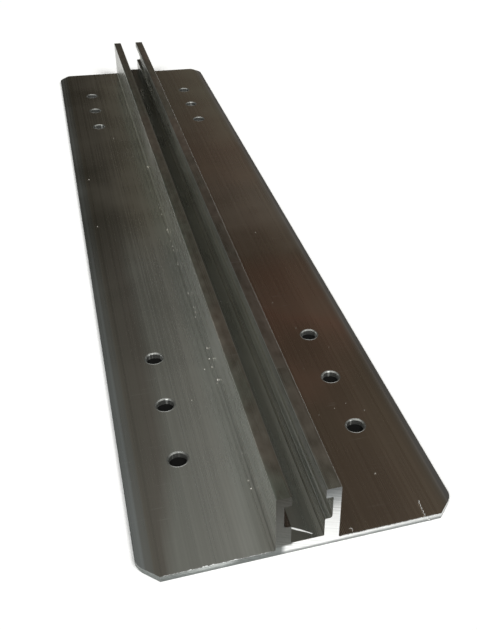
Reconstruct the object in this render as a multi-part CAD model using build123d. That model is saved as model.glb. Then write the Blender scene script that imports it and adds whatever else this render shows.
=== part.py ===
from build123d import *
import os

# Mounting rail, one extruded and sawn length of aluminium, in millimetres.
# Y runs along the rail, Z is up, and the origin is the middle of the underside.

# Base plate, with a shallow taper along each long edge
rail_length = 500.0
plate_width = 112.0
plate_thickness = 2.5
taper_width = 5.0
taper_drop = 0.5
taper_blend_radius = 20.0

# Bolt channel, from the raised floor up to the lips that hold the bolt head
slot_width = 11.5
undercut = 2.5
web_thickness = 2.75
floor_rise = 2.25
ledge_height = 8.0
pocket_height = 9.75
lip_thickness = 4.0

# Corners that the extrusion die leaves round
edge_radius = 0.4
inside_radius = 0.3
foot_radius = 0.6

# Cut corners of the plate
corner_cut = 7.0
corner_radius = 8.0

# Bolt holes, a group of three beside the channel at each end, with a broken top edge
hole_diameter = 7.0
hole_rim = 0.4
hole_row_spacing = 70.0
hole_pitch = 31.5
hole_from_end = 50.5
holes_in_group = 3

# Overrun of every cutting shape past the faces that it goes through
overrun = 5.0

# Places that follow from the sizes above
plate_half = plate_width / 2
slot_half = slot_width / 2
pocket_half = slot_half + undercut
channel_half = pocket_half + web_thickness
floor_level = plate_thickness + floor_rise
ledge_level = floor_level + ledge_height
lip_level = ledge_level + pocket_height
rail_height = lip_level + lip_thickness


def extruded_bar():
    """The whole section, listed as one half and repeated on the other side, pushed along the rail."""
    half_corners = [
        (slot_half, floor_level, inside_radius),
        (slot_half, ledge_level, edge_radius),
        (pocket_half, ledge_level, inside_radius),
        (pocket_half, lip_level, inside_radius),
        (slot_half, lip_level, edge_radius),
        (slot_half, rail_height, edge_radius),
        (channel_half, rail_height, edge_radius),
        (channel_half, plate_thickness, foot_radius),
        (plate_half - taper_width, plate_thickness, taper_blend_radius),
        (plate_half, plate_thickness - taper_drop, edge_radius),
        (plate_half, 0, edge_radius),
    ]
    other_half = [(-x, z, radius) for x, z, radius in reversed(half_corners)]
    corners = half_corners + other_half
    points = [(x, z) for x, z, radius in corners]
    radii = [radius for x, z, radius in corners]
    section = make_face(FilletPolyline(*points, radius=radii, close=True))
    return extrude(Plane.XZ * section, amount=rail_length / 2, both=True)


def plan_blank():
    """The plate's plan with its four corners cut off, as tall as the rail."""
    plan = Rectangle(plate_width, rail_length)
    plan = chamfer(plan.vertices(), corner_cut)
    by_side = plan.vertices().group_by(Axis.X)
    plan = fillet(by_side[0] + by_side[-1], corner_radius)
    return extrude(plan, amount=rail_height)


def hole_cutter():
    """One drill with the cone that breaks the edge on top of the plate."""
    radius = hole_diameter / 2
    drill_length = plate_thickness + overrun
    drill = Pos(Z=plate_thickness - drill_length / 2) * Cylinder(radius, drill_length)
    rim = Pos(Z=plate_thickness - hole_rim / 2) * Cone(radius, radius + hole_rim, hole_rim)
    return drill + rim


def hole_places():
    """Middles of all holes, mirrored to both sides and both ends."""
    outermost = rail_length / 2 - hole_from_end
    places = []
    for along in range(holes_in_group):
        row = outermost - along * hole_pitch
        for side in (-1, 1):
            for end in (-1, 1):
                places.append((side * hole_row_spacing / 2, end * row))
    return places


rail = extruded_bar() & plan_blank()
rail -= [Pos(X=x, Y=y) * hole_cutter() for x, y in hole_places()]
rail.label = "mounting_rail"

os.makedirs("parts", exist_ok=True)
export_step(rail, "parts/mounting_rail.step")
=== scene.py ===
import math
import random

import bmesh
import bpy
from mathutils import Matrix, Vector


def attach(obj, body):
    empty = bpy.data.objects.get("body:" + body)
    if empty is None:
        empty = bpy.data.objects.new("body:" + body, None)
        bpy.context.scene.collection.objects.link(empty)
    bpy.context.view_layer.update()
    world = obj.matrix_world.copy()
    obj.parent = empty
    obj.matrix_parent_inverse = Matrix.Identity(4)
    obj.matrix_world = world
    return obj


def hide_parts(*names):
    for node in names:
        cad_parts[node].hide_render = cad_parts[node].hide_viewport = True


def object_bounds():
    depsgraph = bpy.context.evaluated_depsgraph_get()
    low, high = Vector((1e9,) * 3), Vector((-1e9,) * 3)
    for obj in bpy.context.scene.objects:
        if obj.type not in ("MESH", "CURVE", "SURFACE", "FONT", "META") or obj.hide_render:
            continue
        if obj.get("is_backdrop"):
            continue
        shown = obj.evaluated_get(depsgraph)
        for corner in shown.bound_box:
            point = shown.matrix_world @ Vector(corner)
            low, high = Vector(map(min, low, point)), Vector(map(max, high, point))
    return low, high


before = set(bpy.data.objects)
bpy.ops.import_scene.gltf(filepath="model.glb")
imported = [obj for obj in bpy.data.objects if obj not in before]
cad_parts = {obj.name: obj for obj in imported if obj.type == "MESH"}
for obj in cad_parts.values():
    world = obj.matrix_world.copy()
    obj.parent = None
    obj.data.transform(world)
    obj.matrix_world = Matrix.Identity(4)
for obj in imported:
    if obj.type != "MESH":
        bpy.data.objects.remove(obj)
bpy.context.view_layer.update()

# Extruded bar: the whole section, base plate and bolt channel in one, of mill-finish aluminium.
# It is pushed hot through a steel die that leaves fine lines along it, and is a little overlong here,
# because the saw trims both ends afterwards. All sizes in this file are in millimetres.
mm = 0.001
rail_length = 500.0
rail_half = rail_length / 2
saw_allowance = 2.0
plate_half = 56.0
plate_thickness = 2.5
taper_width = 5.0
taper_drop = 0.5
taper_blend_radius = 20.0
slot_half = 5.75
pocket_half = 8.25
channel_half = 11.0
floor_level = 4.75
ledge_level = 12.75
lip_level = 22.5
rail_height = 26.5
edge_radius = 0.4
inside_radius = 0.3
foot_radius = 0.6
ledge_back_radius = 1.0
half_section = [
    (slot_half, floor_level, inside_radius),
    (slot_half, ledge_level, edge_radius),
    (pocket_half, ledge_level, ledge_back_radius),
    (pocket_half, lip_level, inside_radius),
    (slot_half, lip_level, edge_radius),
    (slot_half, rail_height, edge_radius),
    (channel_half, rail_height, edge_radius),
    (channel_half, plate_thickness, foot_radius),
    (plate_half - taper_width, plate_thickness, taper_blend_radius),
    (plate_half, plate_thickness - taper_drop, edge_radius),
    (plate_half, 0.0, edge_radius),
]
die_line_spacing = 0.8
fine_line_depth = 0.012
deep_line_depth = 0.035
deep_line_share = 0.12
line_fade_length = 60.0
bar_stations = 30
corner_arc_steps = 5


def colour(hex_code):
    """An sRGB hex colour such as "#8a8f8e" as Blender's linear red, green, blue and alpha."""
    parts = [int(hex_code[i:i + 2], 16) / 255 for i in (1, 3, 5)]
    linear = [c / 12.92 if c <= 0.04045 else ((c + 0.055) / 1.055) ** 2.4 for c in parts]
    return (*linear, 1.0)


def add_node(tree, kind, inputs=None, output=None, stops=None, **settings):
    """Adds a node with its settings, sets or links its inputs, and gives back one output socket."""
    node = tree.nodes.new(kind)
    for name, value in settings.items():
        setattr(node, name, value)
    for key, value in (inputs or {}).items():
        named = [socket for socket in node.inputs if socket.enabled and socket.name == key]
        socket = named[0] if named else node.inputs[key]
        if isinstance(value, bpy.types.NodeSocket):
            tree.links.new(value, socket)
        else:
            socket.default_value = value
    for number, (place, tone) in enumerate(stops or []):
        ramp = node.color_ramp.elements
        stop = ramp[number] if number < 2 else ramp.new(place)
        stop.position = place
        stop.color = colour(tone)
    if output:
        return node.outputs[output]
    shown = [socket for socket in node.outputs if socket.enabled]
    return shown[0] if shown else None


def blend(tree, share, first, second, kind="MIX"):
    """One tone mixed into another by a share, or laid over it like a stain when kind is MULTIPLY."""
    return add_node(tree, "ShaderNodeMix", {
        "Factor": share, "A": first, "B": second}, data_type="RGBA", blend_type=kind)


def remap(tree, value, low, high, to_low=0.0, to_high=1.0):
    """A value between low and high, laid over another range and held at its ends."""
    return add_node(tree, "ShaderNodeMapRange", {
        "Value": value, "From Min": low, "From Max": high, "To Min": to_low, "To Max": to_high})


def spread(tones, low, high):
    """Colour stops for a ramp, from (place, tone) pairs between low and high."""
    return [((place - low) / (high - low), tone) for place, tone in tones]


def stretched_noise(tree, place, patch, detail, roughness=0.5, slant=0.0):
    """Noise in patches of about (x, y, z) millimetres, turned about the Z axis by a slant in radians."""
    stretched = add_node(tree, "ShaderNodeMapping", {
        "Vector": place, "Rotation": (0.0, 0.0, slant), "Scale": [1 / (size * mm) for size in patch]})
    return add_node(tree, "ShaderNodeTexNoise", {
        "Vector": stretched, "Scale": 1.0, "Detail": detail, "Roughness": roughness})


# Mill-finish extruded aluminium: bare metal as it leaves the press, satin, drawn out along the bar in
# bands and fine streaks of slightly different tone, with handling smudges and scuffs. Its broad tones are
# painted reflections and shade, and its pale edge lines are painted highlights.
smudge_size = 45.0
border_wander = 1.4
reflection_wander = 25.0
scuff_patch = (3.0, 7.0, 3.0)
streak_patch = (1.3, 1200.0, 1.3)
band_patch = (7.0, 900.0, 7.0)
scratch_patch = (17.0, 0.9, 17.0)
scratch_slant = 0.16
streak_relief = 0.03
strips_inner_edge = 50.5
strips_fade = 4.5
near_slant_length = 70.0
near_slant_shift = 7.5
far_tone_start = -60.0
far_tone_full = -5.0
foot_fade = 2.0
reflection_edge = 54.0
reflection_fade = 2.5
left_reflection_start = -28.0
left_reflection_full = -44.0
noise_range = (0.3, 0.7)
streak_range = (0.25, 0.75)
mill_finish = bpy.data.materials.new("mill_finish_extruded_aluminium")
mill_finish.use_nodes = True
tree = mill_finish.node_tree
metal = tree.nodes["Principled BSDF"]
metal.inputs["Metallic"].default_value = 1.0
place = add_node(tree, "ShaderNodeTexCoord", output="Object")
across = add_node(tree, "ShaderNodeSeparateXYZ", {"Vector": place}, output="X")
upward = add_node(tree, "ShaderNodeSeparateXYZ", {"Vector": place}, output="Z")
from_middle = add_node(tree, "ShaderNodeMath", {0: across}, operation="ABSOLUTE")
smudges = add_node(tree, "ShaderNodeTexNoise", {
    "Vector": place, "Scale": 1 / (smudge_size * mm), "Detail": 2.0, "Roughness": 0.45})

# The plate's bands, painted reflections and shade rather than tones of the metal: grey on the left half,
# brown on the right.
# The darker long sides, the edge strips and the right half keep their tones all along; the left half is
# browner towards the far end, and its borders wander by a millimetre or two.
side_and_right_bands = [
    (-plate_half, "#6c6f6f"), (plate_half, "#74746f"), (-55.75, "#b0b4b5"), (-53.5, "#b0b4b5"),
    (-52.8, "#9b9b98"), (-50.9, "#9a9a96"), (11.0, "#8c8379"), (22.0, "#938a80"), (36.0, "#a2998f"),
    (49.6, "#b2aca2"), (52.9, "#a8aaa6"), (53.4, "#c2c6c8"), (53.6, "#c2c6c8"), (54.1, "#a5acb0"),
    (55.75, "#a5abae")]
left_bands_near = [(-50.2, "#908c84"), (-41.0, "#96918a"), (-35.0, "#b4b5af"), (-12.0, "#c7c8c3")]
left_bands_far = [(-50.2, "#908b81"), (-38.6, "#98938a"), (-26.0, "#ada99d"), (-12.0, "#c6c5b9")]
near_bands = side_and_right_bands + left_bands_near
far_bands = side_and_right_bands + left_bands_far
along = add_node(tree, "ShaderNodeSeparateXYZ", {"Vector": place}, output="Y")
between_strips = remap(tree, from_middle, strips_inner_edge * mm, (strips_inner_edge - strips_fade) * mm)
wander = remap(tree, smudges, *noise_range, -border_wander * mm, border_wander * mm)
left_half = add_node(tree, "ShaderNodeMath", {0: across, 1: 0.0}, operation="LESS_THAN")
near_slant = remap(
    tree, along, -rail_half * mm, (near_slant_length - rail_half) * mm, near_slant_shift * mm, 0.0)
band_drift = add_node(tree, "ShaderNodeMath", {
    0: near_slant, 1: left_half, 2: wander}, operation="MULTIPLY_ADD")
wandered = add_node(tree, "ShaderNodeMath", {
    0: band_drift, 1: between_strips, 2: across}, operation="MULTIPLY_ADD")
plate_share = remap(tree, wandered, -plate_half * mm, plate_half * mm)
near_tone = add_node(tree, "ShaderNodeValToRGB", {"Fac": plate_share}, stops=spread(
    near_bands, -plate_half, plate_half))
far_tone = add_node(tree, "ShaderNodeValToRGB", {"Fac": plate_share}, stops=spread(
    far_bands, -plate_half, plate_half))
far_share = remap(tree, along, far_tone_start * mm, far_tone_full * mm)
plate_tone = blend(tree, far_share, near_tone, far_tone)

# Painted reflections along the plate's right-hand half, some warm and some dark, with borders that drift by
# 25 mm
right_half_reflections = [
    (-rail_half, "#fffaf4"), (rail_half, "#f8fff8"), (-184.0, "#e6dfd6"), (-120.0, "#fcdcd2"),
    (-60.0, "#dcd4cc"), (0.0, "#ffffff"), (60.0, "#fcf2ec"), (180.0, "#f8fff8")]
reflection_drift = remap(tree, smudges, *noise_range, -reflection_wander * mm, reflection_wander * mm)
reflection_along = add_node(tree, "ShaderNodeMath", {0: along, 1: reflection_drift})
reflection_share = remap(tree, reflection_along, -rail_half * mm, rail_half * mm)
right_reflection_tone = add_node(tree, "ShaderNodeValToRGB", {"Fac": reflection_share}, stops=spread(
    right_half_reflections, -rail_half, rail_half))
right_half = remap(tree, across, channel_half * mm, (channel_half + foot_fade) * mm)
inside_bevel = remap(tree, from_middle, reflection_edge * mm, (reflection_edge - reflection_fade) * mm)
right_reflection_reach = add_node(tree, "ShaderNodeMath", {0: right_half, 1: inside_bevel}, operation="MULTIPLY")
reflected_plate_tone = blend(tree, right_reflection_reach, plate_tone, right_reflection_tone, "MULTIPLY")

# One darker painted reflection half way along the plate's left edge
left_reflections = [
    (-rail_half, "#ffffff"), (rail_half, "#ffffff"), (-70.0, "#ffffff"), (-8.0, "#d8d8d6"),
    (20.0, "#dededc"), (60.0, "#ffffff")]
left_reflection_tone = add_node(tree, "ShaderNodeValToRGB", {"Fac": reflection_share}, stops=spread(
    left_reflections, -rail_half, rail_half))
left_reflection_reach = remap(tree, across, left_reflection_start * mm, left_reflection_full * mm)
plate_reflection_tone = blend(tree, left_reflection_reach, reflected_plate_tone, left_reflection_tone, "MULTIPLY")

# The channel, much of it painted light: outer faces painted darker towards the far end, inner faces painted
# lighter over a floor that carries the left wall's painted shadow, scuffed tops with an olive and reddish
# film and painted reflections, greyer on the right wall, and painted highlights on the lips' edges
# Painted shade: the outer faces are painted darker towards the far end
outer_tones = [
    (-rail_half, "#e4e5e1"), (rail_half, "#868782"), (-20.0, "#d8d9d4"), (80.0, "#bbbcb5"),
    (170.0, "#b4b5ae")]
along_share = remap(tree, along, -rail_half * mm, rail_half * mm)
outer_tone = add_node(tree, "ShaderNodeValToRGB", {"Fac": along_share}, stops=spread(
    outer_tones, -rail_half, rail_half))
scuffs = stretched_noise(tree, place, scuff_patch, 3.0)
left_top_tone = add_node(tree, "ShaderNodeValToRGB", {"Fac": scuffs}, stops=[
    (0.30, "#858985"), (0.72, "#a1a9a6")])
right_top_tone = add_node(tree, "ShaderNodeValToRGB", {"Fac": scuffs}, stops=[
    (0.30, "#919491"), (0.72, "#b6bcbb")])
# Painted reflections along the right wall's top, darker in places
right_top_reflections = [
    (-rail_half, "#fcfcfc"), (rail_half, "#f2f2f2"), (-184.0, "#e4e4e4"), (-120.0, "#cacaca"),
    (-40.0, "#d2d2d2"), (80.0, "#f4f4f4")]
right_top_reflection = add_node(tree, "ShaderNodeValToRGB", {"Fac": along_share}, stops=spread(
    right_top_reflections, -rail_half, rail_half))
reflected_right_top_tone = blend(tree, 1.0, right_top_tone, right_top_reflection, "MULTIPLY")
right_wall = add_node(tree, "ShaderNodeMath", {0: across, 1: 0.0}, operation="GREATER_THAN")
walls_top_tone = blend(tree, right_wall, left_top_tone, reflected_right_top_tone)
film_tone = add_node(tree, "ShaderNodeValToRGB", {"Fac": smudges}, stops=[
    (0.38, "#f6f4ea"), (0.62, "#ffeae0")])
top_tone = blend(tree, 1.0, walls_top_tone, film_tone, "MULTIPLY")
outer_face = remap(tree, from_middle, (channel_half - 0.4) * mm, (channel_half - 0.1) * mm)
# Painted light: the inner faces are painted lighter to make up for the shade inside the channel, with a
# darker painted shade band along the ledges
inner_tones = [
    (floor_level, "#e2e2dc"), (rail_height, "#ecede8"), (ledge_level - 0.5, "#dededa"),
    (ledge_level - 0.1, "#c2c3be"), (ledge_level + 0.2, "#c2c3be"), (ledge_level + 0.7, "#f2f3ee"),
    (lip_level, "#ecede8")]
inner_share = remap(tree, upward, floor_level * mm, rail_height * mm)
inner_lit_tone = add_node(tree, "ShaderNodeValToRGB", {"Fac": inner_share}, stops=spread(
    inner_tones, floor_level, rail_height))
# Painted shade: the inner faces are painted darker towards the far end
inner_far_shade = [
    (-rail_half, "#ffffff"), (rail_half, "#86867f"), (-210.0, "#ffffff"), (-150.0, "#f2f2ee"),
    (100.0, "#ecece8"), (180.0, "#b8b8b2")]
inner_far_shade_tone = add_node(tree, "ShaderNodeValToRGB", {"Fac": along_share}, stops=spread(
    inner_far_shade, -rail_half, rail_half))
inner_shaded_tone = blend(tree, 1.0, inner_lit_tone, inner_far_shade_tone, "MULTIPLY")
# Painted shadow of the left wall: the channel's floor is darker on its left side
floor_shadow_tones = [(0.3, "#8c8c86"), (slot_half, "#a8a8a2"), (2.4, "#a6a6a0")]
floor_share = remap(tree, across, -slot_half * mm, slot_half * mm)
floor_shadow_tone = add_node(tree, "ShaderNodeValToRGB", {"Fac": floor_share}, stops=spread(
    floor_shadow_tones, -slot_half, slot_half))
on_floor = remap(tree, upward, (floor_level + 0.3) * mm, (floor_level + 0.1) * mm)
# Painted shade: the channel's floor is painted darker towards the far end
floor_far_shade = [
    (-rail_half, "#ffffff"), (rail_half, "#90908a"), (-120.0, "#f2f2f0"), (-20.0, "#dededa"),
    (110.0, "#dadad6"), (170.0, "#b0b0aa")]
floor_far_shade_tone = add_node(tree, "ShaderNodeValToRGB", {"Fac": along_share}, stops=spread(
    floor_far_shade, -rail_half, rail_half))
shaded_floor_tone = blend(tree, 1.0, floor_shadow_tone, floor_far_shade_tone, "MULTIPLY")
floored_tone = blend(tree, on_floor, inner_shaded_tone, shaded_floor_tone)
# Painted shade: the left ledge, under its lip, is painted dark
on_ledge = add_node(tree, "ShaderNodeMath", {
    0: upward, 1: ledge_level * mm, 2: 0.6 * mm}, operation="COMPARE")
left_ledge = add_node(tree, "ShaderNodeMath", {0: on_ledge, 1: left_half}, operation="MULTIPLY")
inner_tone = blend(tree, left_ledge, floored_tone, colour("#6a625b"))
wall_tone = blend(tree, outer_face, inner_tone, outer_tone)
wall_top = remap(tree, upward, (rail_height - 0.42) * mm, (rail_height - 0.26) * mm)
channel_tone = blend(tree, wall_top, wall_tone, top_tone)
# Painted highlight: a pale line along the lower edge of each lip's inner face
lip_face = remap(tree, from_middle, (slot_half + 0.6) * mm, (slot_half + 0.3) * mm)
lip_edge_level = add_node(tree, "ShaderNodeMath", {
    0: upward, 1: (lip_level + 0.35) * mm, 2: 0.25 * mm}, operation="COMPARE")
lip_edge = add_node(tree, "ShaderNodeMath", {0: lip_face, 1: lip_edge_level}, operation="MULTIPLY")
lipped_tone = blend(tree, lip_edge, channel_tone, colour("#f2f4f2"))
# Painted highlights: pale lines along the rounded top edges of both lips and of the right wall's outside
edge_lines = add_node(tree, "ShaderNodeMath", {
    0: upward, 1: (rail_height - 0.4) * mm}, operation="GREATER_THAN")
for edge_place in (-slot_half - 0.2, slot_half + 0.2, channel_half - 0.15):
    edge_line = add_node(tree, "ShaderNodeMath", {
        0: across, 1: edge_place * mm, 2: 0.22 * mm}, operation="COMPARE")
    edge_lines = add_node(tree, "ShaderNodeMath", {0: edge_lines, 1: edge_line})
top_edge = add_node(tree, "ShaderNodeMath", {0: edge_lines, 1: 1.5}, operation="GREATER_THAN")
edged_tone = blend(tree, top_edge, lipped_tone, colour("#a8a9a4"))
above_plate = remap(tree, upward, (plate_thickness + 0.2) * mm, (plate_thickness + 0.8) * mm)
zone_tone = blend(tree, above_plate, plate_reflection_tone, edged_tone)

# Die streaks 1.3 mm apart that run the whole length, broader bands 7 mm apart, and faint cross scratches
streaks = stretched_noise(tree, place, streak_patch, 3.0, 0.6)
bands = stretched_noise(tree, place, band_patch, 1.0)
scratches = stretched_noise(tree, place, scratch_patch, 2.0, slant=scratch_slant)
scratch_lines = remap(tree, scratches, 0.68, 0.80, to_high=0.3)
streak_light = remap(tree, streaks, *streak_range, 0.87, 1.13)
band_light = remap(tree, bands, *noise_range, 0.93, 1.07)
smudge_light = remap(tree, smudges, *noise_range, 0.94, 1.06)
wiped = add_node(tree, "ShaderNodeMath", {0: above_plate, 1: right_half}, operation="MAXIMUM")
wiped_share = add_node(tree, "ShaderNodeMath", {0: wiped, 1: 0.6}, operation="MULTIPLY")
soft_streak_light = add_node(tree, "ShaderNodeMix", {"Factor": wiped_share, "A": streak_light, "B": 1.0})
line_light = add_node(tree, "ShaderNodeMath", {0: soft_streak_light, 1: band_light}, operation="MULTIPLY")
all_light = add_node(tree, "ShaderNodeMath", {0: line_light, 1: smudge_light}, operation="MULTIPLY")
streaked_tone = add_node(tree, "ShaderNodeVectorMath", {
    0: zone_tone, "Scale": all_light}, operation="SCALE")
worn_tone = blend(tree, scratch_lines, streaked_tone, colour("#d9dad6"))
streak_roughness = remap(tree, streaks, *streak_range, 0.23, 0.33)
smudge_roughness = remap(tree, smudges, *noise_range, -0.03, 0.04)
skin_roughness = add_node(tree, "ShaderNodeMath", {0: streak_roughness, 1: smudge_roughness})
lip_scuff_level = remap(tree, upward, lip_level * mm, (lip_level + 0.4) * mm, to_high=0.11)
metal_roughness = add_node(tree, "ShaderNodeMath", {
    0: lip_face, 1: lip_scuff_level, 2: skin_roughness}, operation="MULTIPLY_ADD")
bump_strength = remap(tree, wiped, 0.0, 1.0, 0.35, 0.15)
line_bump = add_node(tree, "ShaderNodeBump", {
    "Height": streaks, "Strength": bump_strength, "Distance": streak_relief * mm})
tree.links.new(worn_tone, metal.inputs["Base Color"])
tree.links.new(metal_roughness, metal.inputs["Roughness"])
tree.links.new(line_bump, metal.inputs["Normal"])


def closed_piece(name, points, faces, finish):
    """A mesh object from points in millimetres and closed faces, with its normals outward."""
    mesh = bpy.data.meshes.new(name)
    mesh.from_pydata([Vector(point) * mm for point in points], [], faces)
    shape = bmesh.new()
    shape.from_mesh(mesh)
    bmesh.ops.recalc_face_normals(shape, faces=shape.faces)
    shape.to_mesh(mesh)
    shape.free()
    mesh.materials.append(finish)
    piece = bpy.data.objects.new(name, mesh)
    bpy.context.scene.collection.objects.link(piece)
    return piece


def rounded_outline(corners, step):
    """Points round a closed outline of (x, z, radius) corners, each with its outward normal.

    The radii become short arcs with no normal, because the die lines run on the flats only.
    """
    arcs = []
    for number, (x, z, radius) in enumerate(corners):
        corner = Vector((x, z))
        before = (Vector(corners[number - 1][:2]) - corner).normalized()
        after = (Vector(corners[(number + 1) % len(corners)][:2]) - corner).normalized()
        half_angle = before.angle(after) / 2
        middle = corner + (before + after).normalized() * radius / math.sin(half_angle)
        start = corner + before * radius / math.tan(half_angle) - middle
        end = corner + after * radius / math.tan(half_angle) - middle
        turns = [start.slerp(end, k / corner_arc_steps).normalized() for k in range(corner_arc_steps + 1)]
        arcs.append([middle + turn * radius for turn in turns])
    outline = []
    for number, arc in enumerate(arcs):
        outline += [(point, Vector((0.0, 0.0))) for point in arc]
        run_end = arcs[(number + 1) % len(arcs)][0]
        run = run_end - arc[-1]
        pieces = max(1, round(run.length / step))
        normal = Vector((-run.y, run.x)).normalized()
        outline += [(arc[-1] + run * k / pieces, normal) for k in range(1, pieces)]
    return outline


chance = random.Random(11)
other_half = [(-x, z, radius) for x, z, radius in reversed(half_section)]
outline = rounded_outline(half_section + other_half, die_line_spacing)
line_depths = []
for point in outline:
    deepest = deep_line_depth if chance.random() < deep_line_share else fine_line_depth
    line_depths.append(chance.uniform(0.0, deepest))
line_phases = [chance.uniform(0.0, 2 * math.pi) for point in outline]

bar_points = []
bar_half = rail_half + saw_allowance
for station in range(bar_stations):
    y = -bar_half + 2 * bar_half * station / (bar_stations - 1)
    for (point, normal), depth, phase in zip(outline, line_depths, line_phases):
        sunk = point - normal * depth * (0.6 + 0.4 * math.sin(y / line_fade_length + phase))
        bar_points.append((sunk.x, y, sunk.y))
ring = len(outline)
bar_faces = [list(range(ring))[::-1], list(range(ring * (bar_stations - 1), ring * bar_stations))]
for station in range(bar_stations - 1):
    for k in range(ring):
        a = station * ring + k
        b = station * ring + (k + 1) % ring
        bar_faces.append([a, b, b + ring, a + ring])
rail = closed_piece("mounting_rail_bar", bar_points, bar_faces, mill_finish)

# Sawn ends: both ends of the bar are cut square by a toothed circular blade.
# The bare cut is rougher and brighter than the pressed skin, with the blade's shallow arcs across it.
saw_block_half_width = 62.0
saw_block_low = -6.0
saw_block_high = 32.0
saw_grid_step = 0.8
blade_centre_across = 70.0
blade_centre_height = 165.0
blade_mark_spacing = 1.7
blade_mark_depth = 0.02
tooth_spacing = 0.55
grain_size = 0.7
tooth_relief = 0.05
wall_fade = 1.0
wall_tone_start = 3.4
wall_tone_full = 4.4
bottom_shade_start = 1.7
bottom_shade_full = 0.7
bottom_shade_share = 0.85

# Saw-cut aluminium: fresh bare metal, bright and scattering, with the arcs of the blade as fine bump.
# Its tones are painted light and shade: dull on the left wall, bright on the channel's base and the right
# wall, and grey on the lips.
saw_cut = bpy.data.materials.new("saw_cut_aluminium")
saw_cut.use_nodes = True
tree = saw_cut.node_tree
metal = tree.nodes["Principled BSDF"]
metal.inputs["Metallic"].default_value = 1.0
place = add_node(tree, "ShaderNodeTexCoord", output="Object")
across = add_node(tree, "ShaderNodeSeparateXYZ", {"Vector": place}, output="X")
upward = add_node(tree, "ShaderNodeSeparateXYZ", {"Vector": place}, output="Z")
# Painted light and shade across the cut: dark on the left, bright on the right, dimmer towards the top of
# the right wall
plate_cut_tones = [
    (-plate_half, "#848886"), (plate_half, "#d6d8d7"), (-44.0, "#868a88"), (-36.0, "#b8bcba"),
    (-28.0, "#c0c4c2"), (-23.0, "#7c807e"), (-9.2, "#7c807e"), (-7.4, "#f2f3f2"), (12.0, "#f4f5f4")]
cut_share = remap(tree, across, -plate_half * mm, plate_half * mm)
plate_cut_tone = add_node(tree, "ShaderNodeValToRGB", {"Fac": cut_share}, stops=spread(
    plate_cut_tones, -plate_half, plate_half))
left_wall_tones = [
    (plate_thickness, "#6c6d69"), (rail_height, "#464540"), (8.0, "#60615d"), (15.0, "#5c5c58")]
right_wall_tones = [
    (plate_thickness, "#f4f5f4"), (rail_height, "#6c6e6e"), (14.0, "#ecedec"), (18.0, "#c9cac9"),
    (22.0, "#989b9b")]
wall_height = remap(tree, upward, plate_thickness * mm, rail_height * mm)
left_wall_tone = add_node(tree, "ShaderNodeValToRGB", {"Fac": wall_height}, stops=spread(
    left_wall_tones, plate_thickness, rail_height))
right_wall_tone = add_node(tree, "ShaderNodeValToRGB", {"Fac": wall_height}, stops=spread(
    right_wall_tones, plate_thickness, rail_height))
right_of_left_wall = remap(tree, across, -slot_half * mm, (wall_fade - slot_half) * mm)
wall_cut_tone = blend(tree, right_of_left_wall, left_wall_tone, right_wall_tone)
wall_share = remap(tree, upward, wall_tone_start * mm, wall_tone_full * mm)
lit_and_shaded_cut_tone = blend(tree, wall_share, plate_cut_tone, wall_cut_tone)
# Painted shade: the cut is darker along its bottom, standing in for a contact shadow
bottom_shade = remap(tree, upward, bottom_shade_start * mm, bottom_shade_full * mm, to_high=bottom_shade_share)
bottom_shaded_cut_tone = blend(tree, bottom_shade, lit_and_shaded_cut_tone, colour("#747876"))
arc_place = add_node(tree, "ShaderNodeMapping", {
    "Vector": place, "Location": (-blade_centre_across * mm, 0.0, -blade_centre_height * mm)})
arc_flat = add_node(tree, "ShaderNodeVectorMath", {0: arc_place, 1: (1.0, 0.0, 1.0)}, operation="MULTIPLY")
blade_radius = add_node(tree, "ShaderNodeVectorMath", {0: arc_flat}, output="Value", operation="LENGTH")
tooth_share = add_node(tree, "ShaderNodeMath", {
    0: blade_radius, 1: 1 / (tooth_spacing * mm)}, operation="MULTIPLY")
tooth_marks = add_node(tree, "ShaderNodeTexNoise", {
    "W": tooth_share, "Scale": 1.0, "Detail": 2.0}, noise_dimensions="1D")
grain = add_node(tree, "ShaderNodeTexNoise", {
    "Vector": place, "Scale": 1 / (grain_size * mm), "Detail": 3.0})
tooth_light = remap(tree, tooth_marks, *streak_range, 0.80, 1.12)
cut_tone = add_node(tree, "ShaderNodeVectorMath", {0: bottom_shaded_cut_tone, "Scale": tooth_light}, operation="SCALE")
cut_roughness = remap(tree, grain, *noise_range, 0.36, 0.54)
cut_height = add_node(tree, "ShaderNodeMath", {0: tooth_marks, 1: grain})
cut_bump = add_node(tree, "ShaderNodeBump", {
    "Height": cut_height, "Strength": 0.5, "Distance": tooth_relief * mm})
tree.links.new(cut_tone, metal.inputs["Base Color"])
tree.links.new(cut_roughness, metal.inputs["Roughness"])
tree.links.new(cut_bump, metal.inputs["Normal"])


def cut_away(piece, cutter):
    """Takes the cutter's shape out of the piece, whose new faces get the cutter's finish."""
    boolean = piece.modifiers.new("cut", "BOOLEAN")
    boolean.operation = "DIFFERENCE"
    boolean.solver = "EXACT"
    boolean.material_mode = "TRANSFER"
    boolean.object = cutter
    depsgraph = bpy.context.evaluated_depsgraph_get()
    cut_mesh = bpy.data.meshes.new_from_object(piece.evaluated_get(depsgraph))
    piece.modifiers.clear()
    piece.data = cut_mesh
    bpy.data.objects.remove(cutter)


def add_shape(points, faces, more_points, more_faces):
    """Puts one more closed shape into lists of points and faces that make one mesh together."""
    start = len(points)
    points += more_points
    faces += [[start + k for k in face] for face in more_faces]


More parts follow.
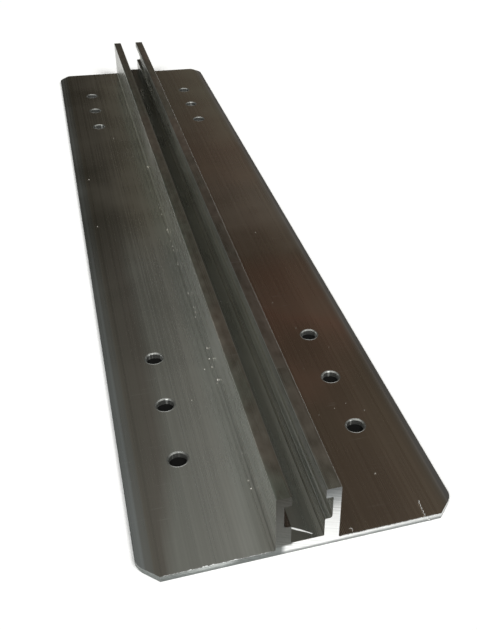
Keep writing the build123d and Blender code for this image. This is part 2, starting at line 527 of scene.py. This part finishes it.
saw_points, saw_faces = [], []
columns = round(2 * saw_block_half_width / saw_grid_step)
rows = round((saw_block_high - saw_block_low) / saw_grid_step)
for end in (-1, 1):
    block = []
    for i in range(columns + 1):
        x = -saw_block_half_width + i * saw_grid_step
        for j in range(rows + 1):
            z = saw_block_low + j * saw_grid_step
            from_blade = math.hypot(x - blade_centre_across, z - blade_centre_height)
            mark = 0.5 + 0.5 * math.sin(2 * math.pi * from_blade / blade_mark_spacing)
            sunk = blade_mark_depth * (0.7 * mark + 0.3 * chance.random())
            block.append((x, end * (rail_half - sunk), z))
    behind = end * (rail_half + 4 * saw_allowance)
    high = saw_block_low + rows * saw_grid_step
    block += [(-saw_block_half_width, behind, saw_block_low), (-saw_block_half_width, behind, high),
              (saw_block_half_width, behind, high), (saw_block_half_width, behind, saw_block_low)]
    tall = rows + 1
    back = [len(block) - 4, len(block) - 3, len(block) - 2, len(block) - 1]
    sides = [back]
    for i in range(columns):
        for j in range(rows):
            sides.append([i * tall + j, (i + 1) * tall + j, (i + 1) * tall + j + 1, i * tall + j + 1])
    sides.append([j for j in range(tall)] + [back[1], back[0]])
    sides.append([columns * tall + j for j in range(tall)] + [back[2], back[3]])
    sides.append([i * tall for i in range(columns + 1)] + [back[3], back[0]])
    sides.append([i * tall + rows for i in range(columns + 1)] + [back[2], back[1]])
    add_shape(saw_points, saw_faces, block, sides)
cut_away(rail, closed_piece("saw_cut", saw_points, saw_faces, saw_cut))

# Cut corners: the plate's four corners are sawn off at 45 degrees after the bar is cut to length.
# The corner towards the long edge is then filed round, the one on the sawn end is left crisp.
corner_cut = 7.0
corner_radius = 8.0
corner_overrun = 5.0
corner_steps = 10


def prism(plan, low, high):
    """Points and faces of an upright prism over a plan outline."""
    count = len(plan)
    points = [(x, y, low) for x, y in plan] + [(x, y, high) for x, y in plan]
    faces = [list(range(count)), list(range(count, 2 * count))]
    for k in range(count):
        after = (k + 1) % count
        faces.append([k, after, after + count, k + count])
    return points, faces


round_start = rail_half - corner_cut - corner_radius * math.tan(math.radians(22.5))
corner_plan = [(plate_half + corner_overrun, round_start)]
for k in range(corner_steps + 1):
    turn = math.radians(45) * k / corner_steps
    corner_plan.append((plate_half - corner_radius * (1 - math.cos(turn)),
                        round_start + corner_radius * math.sin(turn)))
corner_plan.append((plate_half - corner_cut - corner_overrun, rail_half + corner_overrun))
corner_plan.append((plate_half + corner_overrun, rail_half + corner_overrun))
corner_points, corner_faces = [], []
for side in (-1, 1):
    for end in (-1, 1):
        plan = [(side * x, end * y) for x, y in corner_plan]
        corner = prism(plan, -corner_overrun, plate_thickness + corner_overrun)
        add_shape(corner_points, corner_faces, *corner)
cut_away(rail, closed_piece("corner_cut", corner_points, corner_faces, saw_cut))

# Bolt holes: twelve 7 mm holes drilled through the plate, three on each side of the channel at each end.
# The drill leaves fine rings in the bore, and the top edge is broken with a countersink.
hole_radius = 3.5
hole_rim = 0.4
hole_row_half = 35.0
hole_pitch = 31.5
hole_from_end = 50.5
holes_in_group = 3
hole_steps = 56
drill_overrun = 4.0
ring_patch = (4.0, 4.0, 0.18)
highlight_streak_patch = (1.4, 1.4, 40.0)
ring_relief = 0.03

# Drilled aluminium: turned by the drill, so its rings run round. The bore is painted darker as shade and has
# a few paler upright streaks, painted highlights, and the broken rim above it is grey.
drilled = bpy.data.materials.new("drilled_aluminium")
drilled.use_nodes = True
tree = drilled.node_tree
metal = tree.nodes["Principled BSDF"]
metal.inputs["Metallic"].default_value = 1.0
place = add_node(tree, "ShaderNodeTexCoord", output="Object")
rings = stretched_noise(tree, place, ring_patch, 2.0)
# Painted shade: the bore is painted darker than the bar
shaded_bore_tone = add_node(tree, "ShaderNodeValToRGB", {"Fac": rings}, stops=[
    (0.3, "#666764"), (0.7, "#90918d")])
# Painted highlights: paler upright streaks in the bore
highlight_streaks = stretched_noise(tree, place, highlight_streak_patch, 1.0)
highlight_streak_share = remap(tree, highlight_streaks, 0.56, 0.68)
highlighted_bore_tone = blend(tree, highlight_streak_share, shaded_bore_tone, colour("#d0d2ce"))
rim_tone = add_node(tree, "ShaderNodeValToRGB", {"Fac": rings}, stops=[
    (0.3, "#6e6f6c"), (0.7, "#8c8d8a")])
upward = add_node(tree, "ShaderNodeSeparateXYZ", {"Vector": place}, output="Z")
on_rim = remap(tree, upward, (plate_thickness - 0.16) * mm, (plate_thickness - 0.06) * mm)
ring_tone = blend(tree, on_rim, highlighted_bore_tone, rim_tone)
ring_roughness = remap(tree, on_rim, 0.0, 1.0, 0.62, 0.55)
ring_bump = add_node(tree, "ShaderNodeBump", {
    "Height": rings, "Strength": 0.4, "Distance": ring_relief * mm})
tree.links.new(ring_tone, metal.inputs["Base Color"])
tree.links.new(ring_roughness, metal.inputs["Roughness"])
tree.links.new(ring_bump, metal.inputs["Normal"])


def turned(profile, steps):
    """Points and faces of a solid turned about the Z axis from (radius, height) points, low to high."""
    points = []
    for radius, z in profile:
        for k in range(steps):
            turn = 2 * math.pi * k / steps
            points.append((radius * math.cos(turn), radius * math.sin(turn), z))
    last = steps * (len(profile) - 1)
    faces = [list(range(steps)), list(range(last, last + steps))]
    for level in range(len(profile) - 1):
        for k in range(steps):
            a = level * steps + k
            b = level * steps + (k + 1) % steps
            faces.append([a, b, b + steps, a + steps])
    return points, faces


drill_profile = [
    (hole_radius, -drill_overrun),
    (hole_radius, plate_thickness - hole_rim),
    (hole_radius + hole_rim, plate_thickness),
    (hole_radius + hole_rim, plate_thickness + drill_overrun),
]
hole_places = []
for number in range(holes_in_group):
    row = rail_half - hole_from_end - number * hole_pitch
    hole_places += [(side * hole_row_half, end * row) for side in (-1, 1) for end in (-1, 1)]
drill_points, drill_faces = [], []
for x, y in hole_places:
    points, faces = turned(drill_profile, hole_steps)
    add_shape(drill_points, drill_faces, [(x + px, y + py, pz) for px, py, pz in points], faces)
cut_away(rail, closed_piece("drilled_holes", drill_points, drill_faces, drilled))

# Nicks: small dents and chips along the crisp long edges, from handling and stacking bare bars.
# Most are on the left wall's outer top edge. Each is a lump taken out of the edge, in the bar's own finish.
nicked_edges = [
    (-channel_half, rail_height, 60), (-slot_half, rail_height, 16), (slot_half, rail_height, 18),
    (channel_half, rail_height, 26), (-plate_half, plate_thickness - taper_drop, 26),
    (plate_half, plate_thickness - taper_drop, 26)]
nick_smallest = 0.18
nick_largest = 0.42
nick_longest = 2.4
nick_out_share = 0.5
nick_chance = random.Random(23)
nick_points, nick_faces = [], []
for x, z, count in nicked_edges:
    for number in range(count):
        y = -rail_half + rail_length * (number + nick_chance.uniform(0.2, 0.8)) / count
        size = nick_chance.uniform(nick_smallest, nick_largest)
        stretch = nick_chance.uniform(1.0, nick_longest)
        outward = math.copysign(nick_out_share * size, -x if abs(x) == slot_half else x)
        lump = bmesh.new()
        bmesh.ops.create_icosphere(lump, subdivisions=1, radius=1.0)
        lump_points = []
        for vertex in lump.verts:
            rough = size * nick_chance.uniform(0.75, 1.1)
            lump_points.append((x + outward + vertex.co.x * rough, y + vertex.co.y * rough * stretch,
                                z + nick_out_share * size + vertex.co.z * rough))
        lump_faces = [[vertex.index for vertex in face.verts] for face in lump.faces]
        lump.free()
        add_shape(nick_points, nick_faces, lump_points, lump_faces)
cut_away(rail, closed_piece("edge_nicks", nick_points, nick_faces, mill_finish))

# The cuts leave slivers without area where they meet, so the bar is split into triangles and tidied
weld_distance = 0.004
smooth_angle = 28.0
shape = bmesh.new()
shape.from_mesh(rail.data)
bmesh.ops.remove_doubles(shape, verts=shape.verts, dist=weld_distance * mm)
bmesh.ops.triangulate(shape, faces=shape.faces)
bmesh.ops.dissolve_degenerate(shape, dist=weld_distance * mm, edges=shape.edges)
shape.to_mesh(rail.data)
shape.free()
for face in rail.data.polygons:
    face.use_smooth = True
rail.data.set_sharp_from_angle(angle=math.radians(smooth_angle))
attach(rail, "root")
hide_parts("mounting_rail")

# Saw burr: a thin ragged fringe of torn metal that the blade leaves on the plate's near top edge.
# It is part of the bar's own metal, folded up by the teeth, so it is bright and uneven.
burr_runs = [(-48.0, -40.1, 0.30), (-40.0, -22.1, 0.70), (-22.0, -12.0, 0.35), (12.0, 47.0, 0.20)]
burr_step = 0.45
burr_base = 0.35
burr_root = 0.12
burr_sink = 0.02
burr_lean = 0.22
burr_sway = 0.15
burr_lowest_share = 0.08
tear_size = 0.4
tear_relief = 0.06
burr_chance = random.Random(37)

# Torn aluminium: freshly broken metal with no flat skin left, so it scatters light and looks almost white.
torn = bpy.data.materials.new("torn_aluminium")
torn.use_nodes = True
tree = torn.node_tree
metal = tree.nodes["Principled BSDF"]
metal.inputs["Metallic"].default_value = 1.0
place = add_node(tree, "ShaderNodeTexCoord", output="Object")
tears = add_node(tree, "ShaderNodeTexNoise", {"Vector": place, "Scale": 1 / (tear_size * mm), "Detail": 3.0})
torn_tone = add_node(tree, "ShaderNodeValToRGB", {"Fac": tears}, stops=[(0.3, "#c9cbca"), (0.7, "#f6f7f6")])
torn_roughness = remap(tree, tears, *noise_range, 0.42, 0.62)
torn_bump = add_node(tree, "ShaderNodeBump", {
    "Height": tears, "Strength": 0.6, "Distance": tear_relief * mm})
tree.links.new(torn_tone, metal.inputs["Base Color"])
tree.links.new(torn_roughness, metal.inputs["Roughness"])
tree.links.new(torn_bump, metal.inputs["Normal"])

burr_points, burr_faces = [], []
for x_start, x_end, tallest in burr_runs:
    stations = round((x_end - x_start) / burr_step)
    fringe = []
    for k in range(stations + 1):
        x = x_start + (x_end - x_start) * k / stations
        tall = tallest * (burr_lowest_share + burr_chance.random() ** 2.5)
        lean = burr_chance.uniform(-burr_lean, 0.3 * burr_lean)
        sway = burr_chance.uniform(-burr_sway, burr_sway)
        fringe += [(x, -rail_half + burr_sink, plate_thickness - burr_root),
                   (x, -rail_half + burr_base, plate_thickness - burr_sink),
                   (x + sway, -rail_half + lean, plate_thickness + tall)]
    fringe_faces = [[0, 1, 2], [3 * stations, 3 * stations + 2, 3 * stations + 1]]
    for k in range(stations):
        for a, b in ((0, 1), (1, 2), (2, 0)):
            fringe_faces.append([3 * k + a, 3 * k + b, 3 * k + 3 + b, 3 * k + 3 + a])
    add_shape(burr_points, burr_faces, fringe, fringe_faces)
burr = closed_piece("saw_burr", burr_points, burr_faces, torn)
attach(burr, "root")

# Drill burr: a low ridge of the plate's own metal, pushed up round each hole by the drill.
# It has the drilled finish of the rim that it stands on.
ridge_overlap = 0.02
ridge_inner_foot = 0.12
ridge_crest_out = 0.56
ridge_crest_height = 0.11
ridge_outer_out = 0.80
ridge_outer_foot = 0.06
ridge_profile = [
    (hole_radius + hole_rim - ridge_overlap, plate_thickness - ridge_inner_foot),
    (hole_radius + ridge_crest_out, plate_thickness + ridge_crest_height),
    (hole_radius + ridge_outer_out, plate_thickness - ridge_outer_foot)]


def ridge(profile, steps):
    """Points and faces of a closed ring about the Z axis, from its section's (radius, height) corners."""
    points, faces = [], []
    for k in range(steps):
        turn = 2 * math.pi * k / steps
        points += [(radius * math.cos(turn), radius * math.sin(turn), z) for radius, z in profile]
    count = len(profile)
    for k in range(steps):
        after = (k + 1) % steps
        for a in range(count):
            b = (a + 1) % count
            faces.append([count * k + a, count * k + b, count * after + b, count * after + a])
    return points, faces


ridge_points, ridge_faces = [], []
for x, y in hole_places:
    points, faces = ridge(ridge_profile, hole_steps)
    add_shape(ridge_points, ridge_faces, [(x + px, y + py, pz) for px, py, pz in points], faces)
drill_burr = closed_piece("drill_burr", ridge_points, ridge_faces, drilled)
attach(drill_burr, "root")

# Swarf slivers: thin strips of torn metal that the saw left hanging at the near end.
# One hangs from the left wall across the groove, one over the plate's edge, and one is a small curl.
groove_strip = [(-6.4, -249.6, 12.1), (-3.8, -249.8, 10.6), (-1.0, -249.8, 8.7), (1.7, -249.7, 6.6)]
groove_widths = [0.5, 0.62, 0.42, 0.15]
hanging_route = [
    (43.3, -242.6, 2.75), (42.9, -246.4, 2.75), (42.8, -249.6, 2.75), (43.6, -250.4, 1.9),
    (45.2, -250.4, 0.3)]
curl_radius = 0.18
curl_pitch = 1.5
curl_points_per_turn = 10
curl_width = 0.2
curl_strip = [
    (15.4, -247.9, 2.58), (16.0, -247.7, 2.62), (16.5, -248.1, 2.65), (16.5, -248.7, 2.62),
    (16.2, -249.2, 2.58)]
curl_widths = [0.1, 0.18, 0.2, 0.18, 0.1]
strip_thickness = 0.12


def strip(path, widths, facing):
    """Points and faces of a thin flat strip along a path, its flat side turned towards facing."""
    points = []
    for k, place in enumerate(path):
        ahead = Vector(path[min(k + 1, len(path) - 1)]) - Vector(path[max(k - 1, 0)])
        side = ahead.cross(Vector(facing)).normalized() * widths[k] / 2
        thick = side.cross(ahead).normalized() * strip_thickness / 2
        for s, t in ((-1, -1), (1, -1), (1, 1), (-1, 1)):
            points.append(tuple(Vector(place) + s * side + t * thick))
    last = 4 * (len(path) - 1)
    faces = [[0, 1, 2, 3], [last + 3, last + 2, last + 1, last]]
    for k in range(len(path) - 1):
        for a in range(4):
            b = (a + 1) % 4
            faces.append([4 * k + a, 4 * k + b, 4 * k + 4 + b, 4 * k + 4 + a])
    return points, faces


def curled(route):
    """Points of a tight curl that winds round a route of straight runs."""
    points = []
    turn = 0.0
    for start, end in zip(route, route[1:]):
        run = Vector(end) - Vector(start)
        steps = max(1, round(run.length / curl_pitch * curl_points_per_turn))
        side = run.cross(Vector((0.3, 0.2, 1.0))).normalized()
        lift = side.cross(run).normalized()
        for k in range(steps):
            turn += 2 * math.pi / curl_points_per_turn
            swing = side * math.cos(turn) + lift * math.sin(turn)
            points.append(tuple(Vector(start) + run * k / steps + swing * curl_radius))
    return points


sliver_points, sliver_faces = [], []
add_shape(sliver_points, sliver_faces, *strip(groove_strip, groove_widths, (0.0, -1.0, 0.25)))
hanging_strip = curled(hanging_route)
hanging_widths = [curl_width] * len(hanging_strip)
add_shape(sliver_points, sliver_faces, *strip(hanging_strip, hanging_widths, (0.2, 1.0, 0.1)))
add_shape(sliver_points, sliver_faces, *strip(curl_strip, curl_widths, (-0.2, -0.9, 0.4)))
slivers = closed_piece("swarf_slivers", sliver_points, sliver_faces, torn)
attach(slivers, "root")

# Chips: crumbs of swarf, under a millimetre across, most of them swept against the foot of the left wall.
# A few lie on the plate and on the channel's floor. They stick in a film of oil.
foot_chips = [176, 131, 62, 8, 4, -4, -23, -26, -36, -42, -46, -59, -61, -89, -102, -106, -110, -135, -143,
              -149, -158, -160, -203, -217, -221]
plate_chips = [
    (-27.5, 113.0), (-48.3, 51.0), (-48.3, -10.6), (-15.5, -149.5), (-24.3, -168.0), (34.2, -37.6),
    (25.6, -107.3), (30.6, -130.4), (40.8, -148.0), (25.5, -160.0), (30.2, -187.8), (35.6, -186.0),
    (22.9, -190.0), (41.5, -192.0), (33.2, -226.0)]
floor_chips = [(2.8, -14.0), (1.2, -103.5), (3.9, -105.0)]
chip_smallest = 0.18
chip_largest = 0.42
film_patch_size = 0.5
chip_chance = random.Random(41)

# Oily swarf: torn aluminium in a film of cutting oil, with painted light and shade that make it pale on the
# left and duller on the right.
oily_swarf = bpy.data.materials.new("oily_aluminium_swarf")
oily_swarf.use_nodes = True
tree = oily_swarf.node_tree
metal = tree.nodes["Principled BSDF"]
metal.inputs["Metallic"].default_value = 1.0
metal.inputs["Roughness"].default_value = 0.7
place = add_node(tree, "ShaderNodeTexCoord", output="Object")
film = add_node(tree, "ShaderNodeTexNoise", {
    "Vector": place, "Scale": 1 / (film_patch_size * mm), "Detail": 2.0})
oil_tone = add_node(tree, "ShaderNodeValToRGB", {"Fac": film}, stops=[(0.3, "#cac8c4"), (0.7, "#ffffff")])
across = add_node(tree, "ShaderNodeSeparateXYZ", {"Vector": place}, output="X")
# Painted light and shade: the chips are paler on the left and duller on the right
chip_shade_share = remap(tree, across, -channel_half * mm, channel_half * mm)
chip_side_shade_tone = add_node(tree, "ShaderNodeValToRGB", {"Fac": chip_shade_share}, stops=[
    (0.0, "#fdfbf7"), (1.0, "#b0aca5")])
swarf_tone = blend(tree, 1.0, oil_tone, chip_side_shade_tone, "MULTIPLY")
tree.links.new(swarf_tone, metal.inputs["Base Color"])
chip_places = [(-channel_half - chip_chance.uniform(0.4, 1.5), y, plate_thickness) for y in foot_chips]
chip_places += [(x, y, plate_thickness) for x, y in plate_chips]
chip_places += [(x, y, floor_level) for x, y in floor_chips]
chip_points, chip_faces = [], []
for x, y, z in chip_places:
    size = chip_chance.uniform(chip_smallest, chip_largest)
    crumb = bmesh.new()
    bmesh.ops.create_icosphere(crumb, subdivisions=1, radius=1.0)
    crumb_points = []
    for vertex in crumb.verts:
        rough = size * chip_chance.uniform(0.6, 1.25)
        crumb_points.append((
            x + vertex.co.x * rough, y + vertex.co.y * rough, z + (vertex.co.z * 0.6 + 0.35) * rough))
    crumb_faces = [[vertex.index for vertex in face.verts] for face in crumb.faces]
    crumb.free()
    add_shape(chip_points, chip_faces, crumb_points, crumb_faces)
chips = closed_piece("swarf_chips", chip_points, chip_faces, oily_swarf)
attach(chips, "root")

# Studio: a plain pale floor under a soft, dim dome, which is what the bare metal mirrors.
# Two broad soft lights stand at the near side. A black sheet under the rail, smaller than its plate, is
# painted shade: it shows only through the bolt holes and keeps them dark.
floor_half = 30000.0
floor_level_below = 0.02
shade_sheet_level_below = 0.01
shade_sheet_inset = 8.0
backdrop = "#ffffff"
light_azimuths = (-42.0, 34.0)
light_elevation = 50.0
light_softness = 24.0
light_strength = 2.1
dome_left = [
    (0.0, "#26241f"), (1.0, "#5c5c59"), (0.30, "#38342b"), (0.52, "#565650"), (0.74, "#9a9b97"),
    (0.86, "#9a9b97")]
dome_right = [(0.0, "#4a423a"), (1.0, "#5c5c59"), (0.30, "#6e655c"), (0.75, "#6a6158")]
dome_behind = [(0.0, "#5a5a57"), (1.0, "#5c5c59"), (0.34, "#8a8a86"), (0.6, "#50504d"), (0.8, "#3c3c3a")]
dome_far_left = "#747571"
lowest_height = 0.05
right_slopes = (0.19, 0.31)
far_left_slopes = (-0.35, -0.8)
beyond_range = (0.15, 0.5)


def level_sheet(name, half_width, half_length, below, finish_name, tone):
    """A flat matt sheet just under the rail, which is stage and no part of the object."""
    corners = [(i * half_width, j * half_length) for i, j in ((-1, -1), (1, -1), (1, 1), (-1, 1))]
    finish = bpy.data.materials.new(finish_name)
    finish.use_nodes = True
    paint = finish.node_tree.nodes["Principled BSDF"].inputs
    paint["Base Color"].default_value = colour(tone)
    paint["Roughness"].default_value = 1.0
    paint["Specular IOR Level"].default_value = 0.1
    sheet_mesh = bpy.data.meshes.new(name)
    sheet_mesh.from_pydata([Vector((x, y, -below)) * mm for x, y in corners], [], [[0, 1, 2, 3]])
    sheet_mesh.materials.append(finish)
    sheet = bpy.data.objects.new(name, sheet_mesh)
    bpy.context.scene.collection.objects.link(sheet)
    sheet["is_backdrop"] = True


level_sheet(
    "studio_floor", floor_half, floor_half, floor_level_below, "matt_white_floor_paint", "#f4f4f3")
# A black sheet under the rail, painted shade for the bottoms of the bolt holes
level_sheet(
    "hole_shade_sheet", plate_half - shade_sheet_inset, rail_half - shade_sheet_inset, shade_sheet_level_below, "painted_shade_black",
    "#0c0c0b")

for number, azimuth in enumerate(light_azimuths):
    lamp = bpy.data.lights.new(f"soft_light_{number}", "SUN")
    lamp.energy = light_strength
    lamp.angle = math.radians(light_softness)
    lamp_object = bpy.data.objects.new(lamp.name, lamp)
    level = math.cos(math.radians(light_elevation))
    shine = Vector((-math.sin(math.radians(azimuth)) * level, math.cos(math.radians(azimuth)) * level,
                    -math.sin(math.radians(light_elevation))))
    lamp_object.rotation_euler = shine.to_track_quat("-Z", "Y").to_euler()
    bpy.context.scene.collection.objects.link(lamp_object)

world = bpy.data.worlds.new("soft_studio")
bpy.context.scene.world = world
world.use_nodes = True
tree = world.node_tree
tree.nodes.clear()
direction = add_node(tree, "ShaderNodeTexCoord", output="Generated")
height = add_node(tree, "ShaderNodeSeparateXYZ", {"Vector": direction}, output="Z")
sideways = add_node(tree, "ShaderNodeSeparateXYZ", {"Vector": direction}, output="X")
lifted = add_node(tree, "ShaderNodeMath", {0: height, 1: lowest_height}, operation="MAXIMUM")
slope = add_node(tree, "ShaderNodeMath", {0: sideways, 1: lifted}, operation="DIVIDE")
right_share = remap(tree, slope, *right_slopes)
left_tone = add_node(tree, "ShaderNodeValToRGB", {"Fac": height}, stops=dome_left)
right_tone = add_node(tree, "ShaderNodeValToRGB", {"Fac": height}, stops=dome_right)
beyond_tone = blend(tree, right_share, left_tone, right_tone)
along = add_node(tree, "ShaderNodeSeparateXYZ", {"Vector": direction}, output="Y")
beyond_share = remap(tree, along, *beyond_range)
far_left_share = remap(tree, slope, *far_left_slopes)
sided_tone = blend(tree, far_left_share, beyond_tone, colour(dome_far_left))
behind_tone = add_node(tree, "ShaderNodeValToRGB", {"Fac": height}, stops=dome_behind)
dome_tone = blend(tree, beyond_share, behind_tone, sided_tone)
dome = add_node(tree, "ShaderNodeBackground", {"Color": dome_tone, "Strength": 1.0})
plain = add_node(tree, "ShaderNodeBackground", {"Color": colour(backdrop), "Strength": 1.0})
seen = add_node(tree, "ShaderNodeLightPath", output="Is Camera Ray")
mixed = add_node(tree, "ShaderNodeMixShader", {"Fac": seen, 1: dome, 2: plain})
add_node(tree, "ShaderNodeOutputWorld", {"Surface": mixed})
bpy.context.scene.view_settings.view_transform = "Standard"

# Camera: over the rail's near left, looking down and along it, rolled a little.
# The shift is there because the picture is a crop, so its middle isn't the lens's middle.
photo_width = 477
photo_height = 630
focal_pixels = 807.3
lens_centre = (316.3, 308.8)
camera_place = (-57.76, -419.49, 218.49)
camera_azimuth = 18.70
camera_elevation = 34.11
camera_roll = 2.41
camera = bpy.data.objects.new("camera", bpy.data.cameras.new("camera"))
bpy.context.scene.collection.objects.link(camera)
camera.data.sensor_width = 36.0
camera.data.lens = focal_pixels / photo_height * camera.data.sensor_width
camera.data.shift_x = (photo_width / 2 - lens_centre[0]) / photo_height
camera.data.shift_y = (lens_centre[1] - photo_height / 2) / photo_height
camera.data.clip_start = 0.01
camera.matrix_world = (
    Matrix.Translation(Vector(camera_place) * mm)
    @ Matrix.Rotation(math.radians(-camera_azimuth), 4, "Z")
    @ Matrix.Rotation(math.radians(90 - camera_elevation), 4, "X")
    @ Matrix.Rotation(math.radians(camera_roll), 4, "Z"))
bpy.context.scene.camera = camera

low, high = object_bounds()
